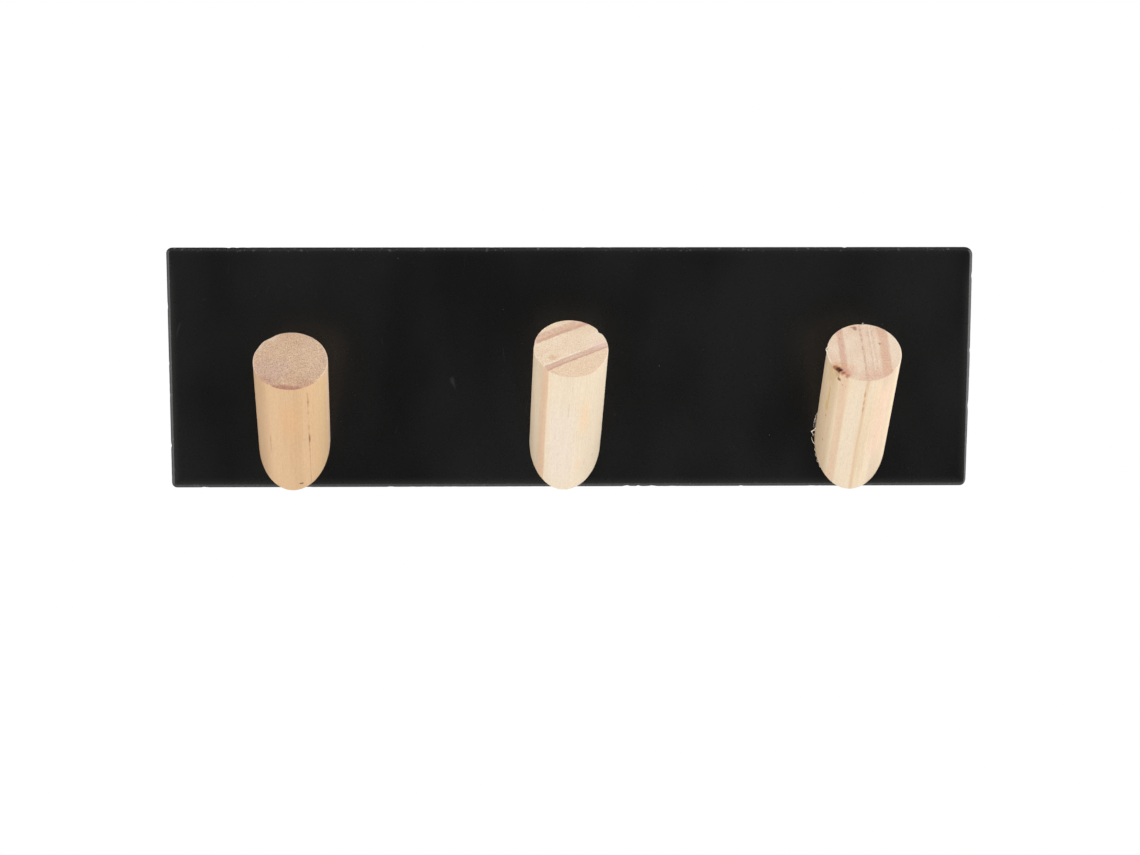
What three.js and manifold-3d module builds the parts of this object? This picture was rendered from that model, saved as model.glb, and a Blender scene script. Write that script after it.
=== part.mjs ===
// Wall hook rack: a black steel back plate carrying three round wooden pegs. Each peg is a dowel
// sawn off at an angle, so that it rises from the plate, and is held from behind by one countersunk
// wood screw. Rows of double-sided foam tape on the back of the plate stick the rack to a wall.
//
// Millimetres. X runs along the rack, Z is up and the pegs point to -Y. The origin is on the wall,
// at the middle of the rack: the plane y = 0 is the face of the tape that meets the wall.

import * as THREE from "three";
import { mergeVertices } from "three/addons/utils/BufferGeometryUtils.js";
import Module from "manifold-3d";

// Back plate
const PLATE_LENGTH = 270;
const PLATE_HEIGHT = 81;
const PLATE_THICKNESS = 2;
const CORNER_RADIUS = 2.6;
const EDGE_ROUND = 1.3; // radius rolled over the front edge
const THINNEST_SIDE = 0.3; // straight part of the side that the rounding leaves
const CORNER_SEGMENTS = 8;
const EDGE_SEGMENTS = 5;

// Foam tape, in three rows
const TAPE_THICKNESS = 1;
const TAPE_WIDTH = 12;
const TAPE_END_MARGIN = 10; // from the ends of the plate
const TAPE_EDGE_MARGIN = 2.5; // from the top and bottom edges of the plate

// Pegs
const PEG_DIAMETER = 24;
const PEG_RISE = THREE.MathUtils.degToRad(45); // a peg's axis above the horizontal
const PEG_OVERHANG = 1; // how far the foot of a peg hangs below the plate
const PEG_END_MARGIN = 42; // outer screws from the ends of the plate
const PEG_EDGE_BREAK = 0.4; // chamfer sanded round the outer end
const PEG_SEGMENTS = 72;

// The pegs are sawn and drilled by hand, so no two are alike. length runs along the axis from the
// plate to the outer end, shift is how far the sawn foot sits to the right of its screw, and lean,
// in degrees, turns the peg to the right in the plane of the plate.
const PEGS = [
  { side: "left", station: -1, length: 43, shift: -0.2, lean: 5 },
  { side: "middle", station: 0, length: 48.8, shift: -2, lean: 2.4 },
  { side: "right", station: 1, length: 46.7, shift: 1.6, lean: -1.6 },
];

// Countersunk wood screws
const SCREW_LENGTH = 16;
const SCREW_DIAMETER = 4;
const THREAD_ROOT_DIAMETER = 2.8;
const THREAD_PITCH = 1.8;
const SCREW_HEAD_DIAMETER = 7.6;
const SCREW_HEAD_RIM = 0.2; // the straight rim of the head
const SCREW_TIP = 3; // length of the pointed end
const SCREW_ABOVE_AXIS = 5; // screw above the point where the peg's axis meets the plate
const HEAD_SINK = 0.1; // head below the back of the plate
const RECESS_WIDTH = 4;
const RECESS_SLOT = 0.9;
const RECESS_DEPTH = 1.5;
const SCREW_SEGMENTS = 24;

// Clearances of a screw in the plate and in its peg
const SCREW_CLEARANCE = 0.2;
const TIP_CLEARANCE = 1;

// Planes that the pieces share
const plateBack = -TAPE_THICKNESS;
const plateFront = plateBack - PLATE_THICKNESS;
const screwHeadPlane = plateBack - HEAD_SINK;

// The foot of a peg is an ellipse on the plate, as wide as the peg and this much taller.
const footHeight = PEG_DIAMETER / Math.cos(PEG_RISE);
const pegAxisZ = -PLATE_HEIGHT / 2 - PEG_OVERHANG + footHeight / 2;
const screwZ = pegAxisZ + SCREW_ABOVE_AXIS;
const screwSpacing = PLATE_LENGTH / 2 - PEG_END_MARGIN;

const blackPaint = new THREE.MeshStandardMaterial({ color: 0x1c1c1d, roughness: 0.42, metalness: 0 });
const warmWood = new THREE.MeshStandardMaterial({ color: 0xdebc94, roughness: 0.65, metalness: 0 });
const paleWood = new THREE.MeshStandardMaterial({ color: 0xf0dcbc, roughness: 0.65, metalness: 0 });
const zinc = new THREE.MeshStandardMaterial({ color: 0xb9bcc0, roughness: 0.35, metalness: 1 });
const foam = new THREE.MeshStandardMaterial({ color: 0xe8e8e4, roughness: 0.8, metalness: 0 });

const wasm = await Module();
wasm.setup();

// A three.js geometry as a manifold-3d solid.
function toSolid(geometry) {
  const bare = geometry.clone();
  bare.deleteAttribute("normal");
  bare.deleteAttribute("uv");
  const merged = mergeVertices(bare, 1e-4);
  return new wasm.Manifold(
    new wasm.Mesh({
      numProp: 3,
      vertProperties: merged.attributes.position.array,
      triVerts: new Uint32Array(merged.index.array),
    }),
  );
}

// A manifold-3d solid as a three.js geometry.
function toGeometry(solid) {
  const { vertProperties, triVerts } = solid.getMesh();
  const geometry = new THREE.BufferGeometry();
  geometry.setAttribute("position", new THREE.BufferAttribute(vertProperties, 3));
  geometry.setIndex(new THREE.BufferAttribute(triVerts, 1));
  geometry.computeVertexNormals();
  return geometry;
}

// base with every one of tools cut away.
function cut(base, ...tools) {
  return toGeometry(tools.reduce((solid, tool) => solid.subtract(toSolid(tool)), toSolid(base)));
}

// A solid turned about the Y axis. The profile is a list of [radius, y] that climbs from the axis
// back to the axis.
function turned(profile, segments) {
  const points = profile.map(([radius, y]) => new THREE.Vector2(radius, y));
  return new THREE.LatheGeometry(points, segments);
}

function roundedRectangle(width, height, radius) {
  const [x, y] = [width / 2 - radius, height / 2 - radius];
  const shape = new THREE.Shape();
  shape.absarc(x, y, radius, 0, 0.5 * Math.PI);
  shape.absarc(-x, y, radius, 0.5 * Math.PI, Math.PI);
  shape.absarc(-x, -y, radius, Math.PI, 1.5 * Math.PI);
  shape.absarc(x, -y, radius, 1.5 * Math.PI, 2 * Math.PI);
  return shape;
}

// The room that one screw takes up in the plate and in its peg, along the Y axis. Its mouth is the
// plane y = 0, on the back of the plate.
function screwRoom() {
  const mouth = SCREW_HEAD_DIAMETER / 2 + SCREW_CLEARANCE;
  const bore = SCREW_DIAMETER / 2 + SCREW_CLEARANCE;
  const rim = HEAD_SINK + SCREW_HEAD_RIM;
  const end = HEAD_SINK + SCREW_LENGTH + TIP_CLEARANCE;
  const profile = [
    [0, -end],
    [bore, -end],
    [bore, -rim - (mouth - bore)],
    [mouth, -rim],
    [mouth, 1],
    [0, 1],
  ];
  return turned(profile, SCREW_SEGMENTS);
}

// The plate, with its front edge rolled over and its back edge square. Its back is the plane y = 0.
function backPlate() {
  const round = Math.min(EDGE_ROUND, PLATE_THICKNESS - THINNEST_SIDE);
  const outline = roundedRectangle(PLATE_LENGTH, PLATE_HEIGHT, CORNER_RADIUS);
  const slab = new THREE.ExtrudeGeometry(outline, {
    depth: PLATE_THICKNESS,
    curveSegments: CORNER_SEGMENTS,
    bevelThickness: round,
    bevelSize: round,
    bevelOffset: -round,
    bevelSegments: EDGE_SEGMENTS,
  });
  // Laid over so that it was extruded towards -Y, and moved so that its front face is in place.
  slab.rotateX(Math.PI / 2);
  slab.translate(0, round, 0);
  const behind = new THREE.BoxGeometry(2 * PLATE_LENGTH, 2 * PLATE_THICKNESS, 2 * PLATE_HEIGHT);
  behind.translate(0, PLATE_THICKNESS, 0);
  const holes = PEGS.map(({ station }) => screwRoom().translate(station * screwSpacing, 0, screwZ));
  return cut(slab, behind, ...holes);
}

// One peg about the point where its axis meets the plate, with its sawn foot on the plane y = 0.
// screwAt is the place of its screw on that plane.
function peg(length, screwAt) {
  const radius = PEG_DIAMETER / 2;
  const profile = [
    [0, -PEG_DIAMETER],
    [radius, -PEG_DIAMETER],
    [radius, length - PEG_EDGE_BREAK],
    [radius - PEG_EDGE_BREAK, length],
    [0, length],
  ];
  const dowel = turned(profile, PEG_SEGMENTS).rotateX(Math.PI - PEG_RISE);
  const behind = new THREE.BoxGeometry(4 * PEG_DIAMETER, 4 * PEG_DIAMETER, 4 * PEG_DIAMETER);
  behind.translate(0, 2 * PEG_DIAMETER, 0);
  return cut(dowel, behind, screwRoom().translate(screwAt.x, PLATE_THICKNESS, screwAt.y));
}

// A countersunk wood screw on the Y axis. The flat of its head is the plane y = 0 and it points to
// -Y. Its thread is drawn as rings, one pitch apart.
function woodScrew() {
  const head = SCREW_HEAD_DIAMETER / 2;
  const crest = SCREW_DIAMETER / 2;
  const root = THREAD_ROOT_DIAMETER / 2;
  const neck = SCREW_HEAD_RIM + head - crest;
  const threadEnd = SCREW_LENGTH - SCREW_TIP;
  const profile = [
    [0, -SCREW_LENGTH],
    [root, -threadEnd],
  ];
  const rings = Math.floor((threadEnd - neck) / THREAD_PITCH) - 1;
  for (let ring = 0; ring < rings; ring++) {
    const y = -threadEnd + (ring + 0.5) * THREAD_PITCH;
    profile.push([root, y - 0.3 * THREAD_PITCH], [crest, y], [root, y + 0.3 * THREAD_PITCH]);
  }
  profile.push([root, -neck - (crest - root)], [head, -SCREW_HEAD_RIM], [head, 0], [0, 0]);
  const recess = [0, Math.PI / 2].map((turn) =>
    new THREE.BoxGeometry(RECESS_WIDTH, 2 * RECESS_DEPTH, RECESS_SLOT).rotateY(turn),
  );
  return cut(turned(profile, SCREW_SEGMENTS), ...recess);
}

function tapeStrip() {
  return new THREE.BoxGeometry(PLATE_LENGTH - 2 * TAPE_END_MARGIN, TAPE_THICKNESS, TAPE_WIDTH);
}

function addPart(parent, name, geometry, material, x = 0, y = 0, z = 0) {
  const mesh = new THREE.Mesh(geometry, material);
  mesh.name = name;
  mesh.position.set(x, y, z);
  parent.add(mesh);
}

const rack = new THREE.Group();

addPart(rack, "back_plate", backPlate(), blackPaint, 0, plateBack, 0);

const outerRow = PLATE_HEIGHT / 2 - TAPE_EDGE_MARGIN - TAPE_WIDTH / 2;
const tapeRows = { upper: outerRow, middle: 0, lower: -outerRow };
for (const [row, z] of Object.entries(tapeRows)) {
  addPart(rack, `tape_${row}`, tapeStrip(), foam, 0, -TAPE_THICKNESS / 2, z);
}

for (const { side, station, length, shift, lean } of PEGS) {
  const screwX = station * screwSpacing;
  const turn = THREE.MathUtils.degToRad(lean);
  const stand = new THREE.Group();
  stand.position.set(screwX + shift, plateFront, pegAxisZ);
  stand.rotation.y = turn;
  rack.add(stand);
  // Seen from the leaning peg, its screw is turned the other way.
  const screwAt = new THREE.Vector2(-shift, SCREW_ABOVE_AXIS).rotateAround(new THREE.Vector2(), turn);
  addPart(stand, `peg_${side}`, peg(length, screwAt), side === "left" ? warmWood : paleWood);
  addPart(rack, `screw_${side}`, woodScrew(), zinc, screwX, screwHeadPlane, screwZ);
}

export default rack;
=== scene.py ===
import math
from collections import namedtuple

import bmesh
import bpy
from bpy.props import FloatProperty, FloatVectorProperty, PointerProperty
from mathutils import Euler, Matrix, Vector, noise


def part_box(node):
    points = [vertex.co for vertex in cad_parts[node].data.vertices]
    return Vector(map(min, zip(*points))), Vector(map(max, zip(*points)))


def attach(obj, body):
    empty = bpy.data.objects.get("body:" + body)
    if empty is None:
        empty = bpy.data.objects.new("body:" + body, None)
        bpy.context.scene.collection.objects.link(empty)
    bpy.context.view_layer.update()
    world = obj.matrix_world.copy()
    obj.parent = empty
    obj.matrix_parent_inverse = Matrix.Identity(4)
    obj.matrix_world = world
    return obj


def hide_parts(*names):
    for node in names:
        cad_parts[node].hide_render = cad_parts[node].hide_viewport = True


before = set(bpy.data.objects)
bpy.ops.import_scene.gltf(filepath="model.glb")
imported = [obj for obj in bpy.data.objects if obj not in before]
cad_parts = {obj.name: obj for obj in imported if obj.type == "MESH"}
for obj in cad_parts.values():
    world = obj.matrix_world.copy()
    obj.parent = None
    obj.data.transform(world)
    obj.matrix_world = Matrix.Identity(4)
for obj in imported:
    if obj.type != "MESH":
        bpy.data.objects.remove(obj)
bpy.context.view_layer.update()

bl_info = {
    "name": "Peg hook rack",
    "version": (1, 0, 0),
    "blender": (4, 5, 0),
    "location": "View3D > Sidebar > Hook Rack",
    "description": "Builds a coated steel plate with three sawn dowel pegs, their screws and the tape",
    "category": "Object",
}

# Metres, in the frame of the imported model: X along the rack, Z up, the pegs point to -Y.
MM = 0.001
PLATE_LOW, PLATE_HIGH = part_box("back_plate")
PLATE_MIDDLE = (PLATE_LOW + PLATE_HIGH) / 2
FRONT = PLATE_LOW.y
SIDES = ("left", "middle", "right")
ROWS = ("upper", "middle", "lower")
SCREW_ABOVE_AXIS = 5 * MM
BORE_MOUTH = 2.3 * MM
BORE_RADIUS = 2.2 * MM
WELD = 1e-6
CREASE = math.radians(38)

# How a peg leans in the plane of the plate, and how far its foot sits to the right of its screw.
Stance = namedtuple("Stance", "lean shift")
STANCES = {
    "left": Stance(5.0, -0.2),
    "middle": Stance(2.4, -2.0),
    "right": Stance(-1.6, 1.6),
}


def tone(red, green, blue):
    """The linear colour of a paint swatch read as 0 to 255 on a display."""
    share = [level / 255 for level in (red, green, blue)]
    return tuple(s / 12.92 if s <= 0.04045 else ((s + 0.055) / 1.055) ** 2.4 for s in share)


def solid(colour):
    return (*colour, 1.0)


def add_object(name, data):
    made = bpy.data.objects.new(name, data)
    bpy.context.scene.collection.objects.link(made)
    return made


# ---------------------------------------------------------------- settings a user may change


class RackPlateSettings(bpy.types.PropertyGroup):
    edge_radius: FloatProperty(
        name="Edge radius", description="Roundness where the side turns into the bevel",
        default=0.8 * MM, min=0.0, unit="LENGTH")
    bevel_width: FloatProperty(
        name="Bevel width", description="Width of the flat bevel round the front face",
        default=0.62 * MM, min=0.0, unit="LENGTH")
    bevel_slope: FloatProperty(
        name="Bevel slope", description="Angle of that bevel against the front face",
        default=math.radians(31), subtype="ANGLE")
    corner_radii: FloatVectorProperty(
        name="Corner radii", description="Lower left, lower right, upper left, upper right",
        size=4, default=(1.8 * MM, 2.6 * MM, 1.9 * MM, 2.6 * MM), unit="LENGTH")
    chipping: FloatProperty(
        name="Chipping", description="Deepest small chip along the cut edges",
        default=0.22 * MM, min=0.0, unit="LENGTH")
    coat_colour: FloatVectorProperty(
        name="Coat colour", description="Satin coat on the steel",
        size=3, default=tone(22, 22, 22), subtype="COLOR", min=0.0, max=1.0)
    coat_roughness: FloatProperty(
        name="Coat roughness", description="0 is a mirror, 1 is chalk",
        default=0.28, min=0.0, max=1.0, subtype="FACTOR")


class RackPegSettings(bpy.types.PropertyGroup):
    diameter: FloatProperty(
        name="Dowel diameter", description="Diameter of the round stock",
        default=24 * MM, min=0.0, unit="LENGTH")
    rise: FloatProperty(
        name="Rise", description="Angle of a peg's axis above the horizontal",
        default=math.radians(45), subtype="ANGLE")
    rim_break: FloatProperty(
        name="Rim break", description="Radius sanded round the sawn end",
        default=0.5 * MM, min=0.0, unit="LENGTH")
    out_of_square: FloatProperty(
        name="Out of square", description="How much shorter the top of the sawn end is",
        default=0.2 * MM, min=0.0, unit="LENGTH")
    honey_tone: FloatVectorProperty(
        name="Honey wood", description="Long grain of the left peg",
        size=3, default=tone(222, 186, 146), subtype="COLOR", min=0.0, max=1.0)
    cream_tone: FloatVectorProperty(
        name="Cream wood", description="Long grain of the middle and right pegs",
        size=3, default=tone(238, 219, 193), subtype="COLOR", min=0.0, max=1.0)


class RackScrewSettings(bpy.types.PropertyGroup):
    diameter: FloatProperty(
        name="Thread diameter", description="Across the crests of the thread",
        default=4 * MM, min=0.0, unit="LENGTH")
    root_diameter: FloatProperty(
        name="Core diameter", description="Across the roots of the thread",
        default=2.8 * MM, min=0.0, unit="LENGTH")
    pitch: FloatProperty(
        name="Pitch", description="Rise of the thread in one turn",
        default=1.8 * MM, min=0.0, unit="LENGTH")
    recess_width: FloatProperty(
        name="Recess width", description="Across the cross recess",
        default=4 * MM, min=0.0, unit="LENGTH")
    recess_slot: FloatProperty(
        name="Recess slot", description="Width of one arm of the cross",
        default=0.9 * MM, min=0.0, unit="LENGTH")
    recess_depth: FloatProperty(
        name="Recess depth", description="Depth of the cross recess",
        default=1.4 * MM, min=0.0, unit="LENGTH")
    zinc_colour: FloatVectorProperty(
        name="Zinc", description="Bright zinc plating",
        size=3, default=(0.56, 0.58, 0.60), subtype="COLOR", min=0.0, max=1.0)


class RackTapeSettings(bpy.types.PropertyGroup):
    edge_round: FloatProperty(
        name="Edge round", description="Softness of the cut edges",
        default=0.15 * MM, min=0.0, unit="LENGTH")
    foam_colour: FloatVectorProperty(
        name="Foam", description="Closed-cell foam",
        size=3, default=(0.74, 0.74, 0.71), subtype="COLOR", min=0.0, max=1.0)


class RackStudioSettings(bpy.types.PropertyGroup):
    eye: FloatVectorProperty(
        name="Camera place", description="Where the camera stands",
        size=3, default=(-0.0128, -0.6849, 0.06863), subtype="TRANSLATION", unit="LENGTH")
    aim: FloatVectorProperty(
        name="Camera aim", description="Turn of the camera about X, Y and Z",
        size=3, default=(math.radians(82.58), 0.0, math.radians(-1.053)), subtype="EULER")
    lens: FloatProperty(
        name="Lens", description="Focal length in millimetres on a 36 mm sensor",
        default=64.24, min=1.0)
    side_power: FloatProperty(
        name="Side lights", description="Power of each side light in watts",
        default=5.1, min=0.0)
    top_power: FloatProperty(
        name="Top light", description="Power of the light above, in watts",
        default=1.48, min=0.0)
    fill_power: FloatProperty(
        name="Front fill", description="Power of the soft fill below the camera, in watts",
        default=2.25, min=0.0)
    floor_drop: FloatProperty(
        name="Floor drop", description="Distance from the rack down to the floor",
        default=1.5, min=0.1, unit="LENGTH")


# ---------------------------------------------------------------- finishes


class Nodes:
    """A node tree, built from short calls that hand back sockets."""

    def __init__(self, tree):
        self.tree = tree

    def add(self, kind, inputs=None, **settings):
        """The outputs of a new node."""
        node = self.tree.nodes.new(kind)
        for key, value in settings.items():
            setattr(node, key, value)
        self.feed(node, inputs or {})
        return node.outputs

    def feed(self, node, inputs):
        """Link each input to a socket, or set it to a plain value."""
        for key, value in inputs.items():
            if isinstance(value, bpy.types.NodeSocket):
                self.tree.links.new(value, node.inputs[key])
            else:
                node.inputs[key].default_value = value

    def math(self, operation, first, second=0.0):
        return self.add("ShaderNodeMath", {0: first, 1: second}, operation=operation)[0]

    def inverse(self, value):
        return self.math("SUBTRACT", 1.0, value)

    def total(self, *terms):
        result = terms[0]
        for term in terms[1:]:
            result = self.math("ADD", result, term)
        return result

    def product(self, *factors):
        result = factors[0]
        for factor in factors[1:]:
            result = self.math("MULTIPLY", result, factor)
        return result

    def parts(self, vector):
        return self.add("ShaderNodeSeparateXYZ", {0: vector})

    def ramp(self, value, start, stop, low=0.0, high=1.0):
        """Low below start, high above stop, smooth between."""
        inputs = {"Value": value, "From Min": start, "From Max": stop, "To Min": low, "To Max": high}
        return self.add("ShaderNodeMapRange", inputs, interpolation_type="SMOOTHSTEP")[0]


class Finish(Nodes):
    """The node tree of one material."""

    def __init__(self, name):
        self.material = bpy.data.materials.new(name)
        self.material.use_nodes = True
        super().__init__(self.material.node_tree)
        self.place = self.add("ShaderNodeTexCoord")["Object"]

    def surface(self, **values):
        """Feed inputs of the shader, where base_color stands for Base Color."""
        shader = self.tree.nodes["Principled BSDF"]
        for key, value in values.items():
            self.feed(shader, {key.replace("_", " ").title().replace("Ior", "IOR"): value})

    def millimetres(self, origin=(0.0, 0.0, 0.0), turn=(0.0, 0.0, 0.0)):
        """Object coordinates in millimetres, measured from an origin along turned axes."""
        inputs = {"Vector": self.place, "Location": origin, "Rotation": turn, "Scale": (MM, MM, MM)}
        return self.add("ShaderNodeMapping", inputs, vector_type="TEXTURE")[0]

    def scaled(self, value, low, high):
        """Carry 0..1 to low..high."""
        return self.add("ShaderNodeMapRange", {"Value": value, "To Min": low, "To Max": high})[0]

    def window(self, value, low, high, soft_low, soft_high):
        """1 between low and high, with soft flanks."""
        rise = self.ramp(value, low - soft_low / 2, low + soft_low / 2)
        fall = self.ramp(value, high - soft_high / 2, high + soft_high / 2)
        return self.product(rise, self.inverse(fall))

    def spot(self, across, along, centre, radii, soft):
        """1 inside an oval, falling to 0 over the soft share of its radius."""
        first = self.math("DIVIDE", self.math("SUBTRACT", across, centre[0]), radii[0])
        second = self.math("DIVIDE", self.math("SUBTRACT", along, centre[1]), radii[1])
        far = self.math("SQRT", self.total(self.product(first, first), self.product(second, second)))
        return self.inverse(self.ramp(far, 1.0 - soft, 1.0 + soft))

    def noise(self, vector, scale, detail=2.0, roughness=0.5, stretch=None):
        """Soft noise. A stretch below 1 draws the pattern out along that axis."""
        if stretch:
            vector = self.add("ShaderNodeVectorMath", {0: vector, 1: stretch}, operation="MULTIPLY")[0]
        inputs = {"Vector": vector, "Scale": scale, "Detail": detail, "Roughness": roughness}
        return self.add("ShaderNodeTexNoise", inputs)[0]

    def cells(self, vector, scale):
        """Distance to the nearest cell centre, and a random colour for each cell."""
        outputs = self.add("ShaderNodeTexVoronoi", {"Vector": vector, "Scale": scale})
        return outputs["Distance"], outputs["Color"]

    def mix(self, factor, first, second, blend="MIX"):
        inputs = {0: factor, 6: first, 7: second}
        return self.add("ShaderNodeMix", inputs, data_type="RGBA", blend_type=blend)[2]

    def paint(self, under, tint, *cover):
        """Lay a swatch tint over a colour, where the product of the covers says."""
        return self.mix(self.product(*cover), under, solid(tone(*tint)))

    def shade(self, colour, factor):
        """Multiply a colour by a grey factor."""
        return self.mix(1.0, colour, factor, blend="MULTIPLY")

    def relief(self, height, distance, below=None):
        """Raise the surface by height (0..1) times a distance in metres."""
        inputs = {"Height": height, "Distance": distance}
        if below is not None:
            inputs["Normal"] = below
        return self.add("ShaderNodeBump", inputs)[0]


def satin_coat(settings):
    """Near-black satin coat: orange peel, faint clouds, dust, hair scratches, a rubbed edge and a painted
    sheen near the outline.
    """
    coat = Finish("satin_black_coat")
    spot = coat.millimetres(PLATE_MIDDLE)
    x, _, z = coat.parts(spot)
    clouds = coat.noise(spot, 0.028, 2.0, 0.45, stretch=(1.0, 1.0, 0.6))
    grime = coat.noise(spot, 0.35, 4.0, 0.6)
    wiped = coat.scaled(coat.ramp(clouds, 0.3, 0.7), 0.62, 1.4)
    colour = coat.shade(solid(settings.coat_colour), wiped)

    # Dust: fine pale specks in drifts, one cell in five
    distance, chance = coat.cells(spot, 0.4)
    rare = coat.ramp(coat.parts(chance)[0], 0.78, 0.84)
    drift = coat.ramp(coat.noise(spot, 0.06, 2.0), 0.42, 0.62)
    dust = coat.inverse(coat.ramp(distance, 0.02, 0.09))
    dust = coat.product(dust, rare, drift)
    colour = coat.paint(colour, (120, 120, 118), dust, 0.5)

    # Hair scratches: the zero line of a long stretched noise, seen only here and there
    swirl = coat.noise(spot, 0.05, 1.0, stretch=(1.0, 1.0, 0.25))
    line = coat.math("ABSOLUTE", coat.math("SUBTRACT", swirl, 0.5))
    hair = coat.inverse(coat.ramp(line, 0.0, 0.0016))
    hair = coat.product(hair, coat.ramp(coat.noise(spot, 0.12, 1.0), 0.62, 0.7))
    colour = coat.paint(colour, (110, 110, 110), hair, 0.12)

    # The edge: distance in from the outline, where the coat is rubbed and here and there chipped, and
    # where a painted sheen lightens it
    half = (PLATE_HIGH - PLATE_LOW) / 2 / MM
    from_end = coat.math("SUBTRACT", half.x, coat.math("ABSOLUTE", x))
    from_side = coat.math("SUBTRACT", half.z, coat.math("ABSOLUTE", z))
    inward = coat.math("MINIMUM", from_end, from_side)
    edge = coat.inverse(coat.ramp(inward, 0.5, 1.7))
    # Painted highlight: the coat lighter for a few millimetres in from the outline, much less along the
    # top edge
    painted_edge_sheen = coat.inverse(coat.ramp(inward, 0.2, 4.5))
    painted_edge_sheen = coat.product(painted_edge_sheen, painted_edge_sheen, coat.scaled(coat.ramp(z, 25.0, 38.0), 1.0, 0.2))
    ragged = coat.noise(spot, 1.1, 3.0, 0.6, stretch=(0.7, 1.0, 0.7))
    chip = coat.product(edge, coat.ramp(ragged, 0.58, 0.66))
    colour = coat.paint(colour, (150, 150, 148), chip, 0.45)
    colour = coat.paint(colour, (38, 38, 38), edge, 0.5)
    # Lay on the painted edge sheen
    colour = coat.paint(colour, (62, 62, 61), painted_edge_sheen, 0.55)

    rough = coat.scaled(grime, settings.coat_roughness - 0.05, settings.coat_roughness + 0.05)
    rough = coat.total(rough, coat.product(dust, 0.3), coat.product(hair, 0.1))
    peel = coat.noise(spot, 1.1, 2.0, 0.5)
    grit = coat.noise(spot, 7.0, 1.0)
    normal = coat.relief(peel, 0.006 * MM)
    normal = coat.relief(grit, 0.0015 * MM, below=normal)
    normal = coat.relief(coat.total(dust, chip), 0.02 * MM, below=normal)
    coat.surface(base_color=colour, roughness=rough, normal=normal, specular_ior_level=0.38)
    return coat.material


# A growth ring is a slab across the dowel: low and high are places along the ring direction, in
# millimetres from the axis. It shows as a band on the sawn end and as a stripe down the side.
Ring = namedtuple(
    "Ring", "low high soft_low soft_high end_tint end_depth side_tint side_depth broken", defaults=(0.0,))
# A mark on the side: angle and spread in degrees round the axis from the front, start and stop in
# millimetres out from the plate, how dashed it is, and its drift in degrees for each millimetre.
Mark = namedtuple(
    "Mark", "angle spread soft start stop fade tint depth dashed drift", defaults=(0.0, 0.0))
WHOLE_LENGTH = (-20, 60, 4)  # start, stop and fade of a mark that runs past both ends
# A spot on the sawn end, in millimetres right and up from the axis. It may run over the rim.
Spot = namedtuple("Spot", "x y wide high soft tint depth over_rim", defaults=(False,))
# Turn is the slant of the growth rings across the end in degrees, and wobble how far they stray in
# millimetres. Grit is how rough and dark the saw left the end, blush how cloudy the wood is.
Grain = namedtuple("Grain", "turn wobble grit blush end end_deep side side_deep rings marks spots")

ROSE = (235, 205, 194)
AMBER = (200, 165, 100)
DARK_KNOT = (84, 26, 22)
# Pale fibre colour, also laid on as the painted highlight along the upper rim of a sawn end
WHITE_FIBRE_AND_HIGHLIGHT = (240, 230, 216)


def left_grain(settings):
    """Honey side with two dark pith streaks, and a plain stippled end."""
    return Grain(
        turn=60, wobble=0.8, grit=1.9, blush=0.5,
        end=tone(210, 177, 146), end_deep=tone(197, 160, 130),
        side=settings.honey_tone, side_deep=tone(214, 174, 132),
        rings=[
            Ring(-9.5, -7.5, 1.5, 1.0, (196, 158, 140), 0.35, (206, 168, 128), 0.4),
            Ring(-1.0, 1.5, 2.0, 1.5, (214, 182, 160), 0.3, (226, 190, 150), 0.4),
            Ring(6.5, 8.0, 1.5, 0.8, (198, 160, 142), 0.3, (204, 172, 124), 0.4),
        ],
        marks=[
            # Painted shade: the left flank darker down the whole length
            Mark(-70, 34, 34, *WHOLE_LENGTH, (194, 161, 127), 0.88),
            Mark(60, 10, 14, *WHOLE_LENGTH, (218, 187, 144), 0.6),
            # Painted highlight: the right flank lighter down the whole length
            Mark(92, 16, 12, *WHOLE_LENGTH, (226, 197, 168), 0.75),
            Mark(5, 16, 18, 18, 34, 12, (226, 180, 134), 0.6),
            Mark(33.5, 1.2, 2.0, 9, 40, 3, (188, 142, 104), 0.6, 0.8),
            Mark(34, 1.2, 1.4, 32, 37, 2.0, (166, 118, 86), 0.7, 0.4),
            Mark(34.3, 1.3, 1.4, 13.5, 17, 1.6, (134, 86, 62), 0.85, 0.2),
            Mark(34, 0.7, 1.4, -9, 12, 3, (182, 142, 104), 0.7, 0.4),
            Mark(-31, 0.8, 1.4, 7, 15.5, 3, (166, 122, 88), 0.6, 0.3),
            Mark(17.5, 3.0, 1.6, -8.6, -7.9, 0.4, (120, 80, 56), 0.95),
        ],
        spots=[
            Spot(-6, -5, 6, 5, 0.8, (200, 166, 152), 0.5),
            Spot(0.5, -11.4, 6.5, 1.0, 0.7, (180, 122, 106), 0.8),
            Spot(-7.2, -9.0, 3.2, 1.2, 0.8, (196, 148, 130), 0.6),
            Spot(7.0, -9.2, 3.0, 1.2, 0.8, (196, 144, 124), 0.5),
            Spot(8, 2, 4, 8, 0.9, (212, 182, 156), 0.5),
        ],
    )


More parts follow.
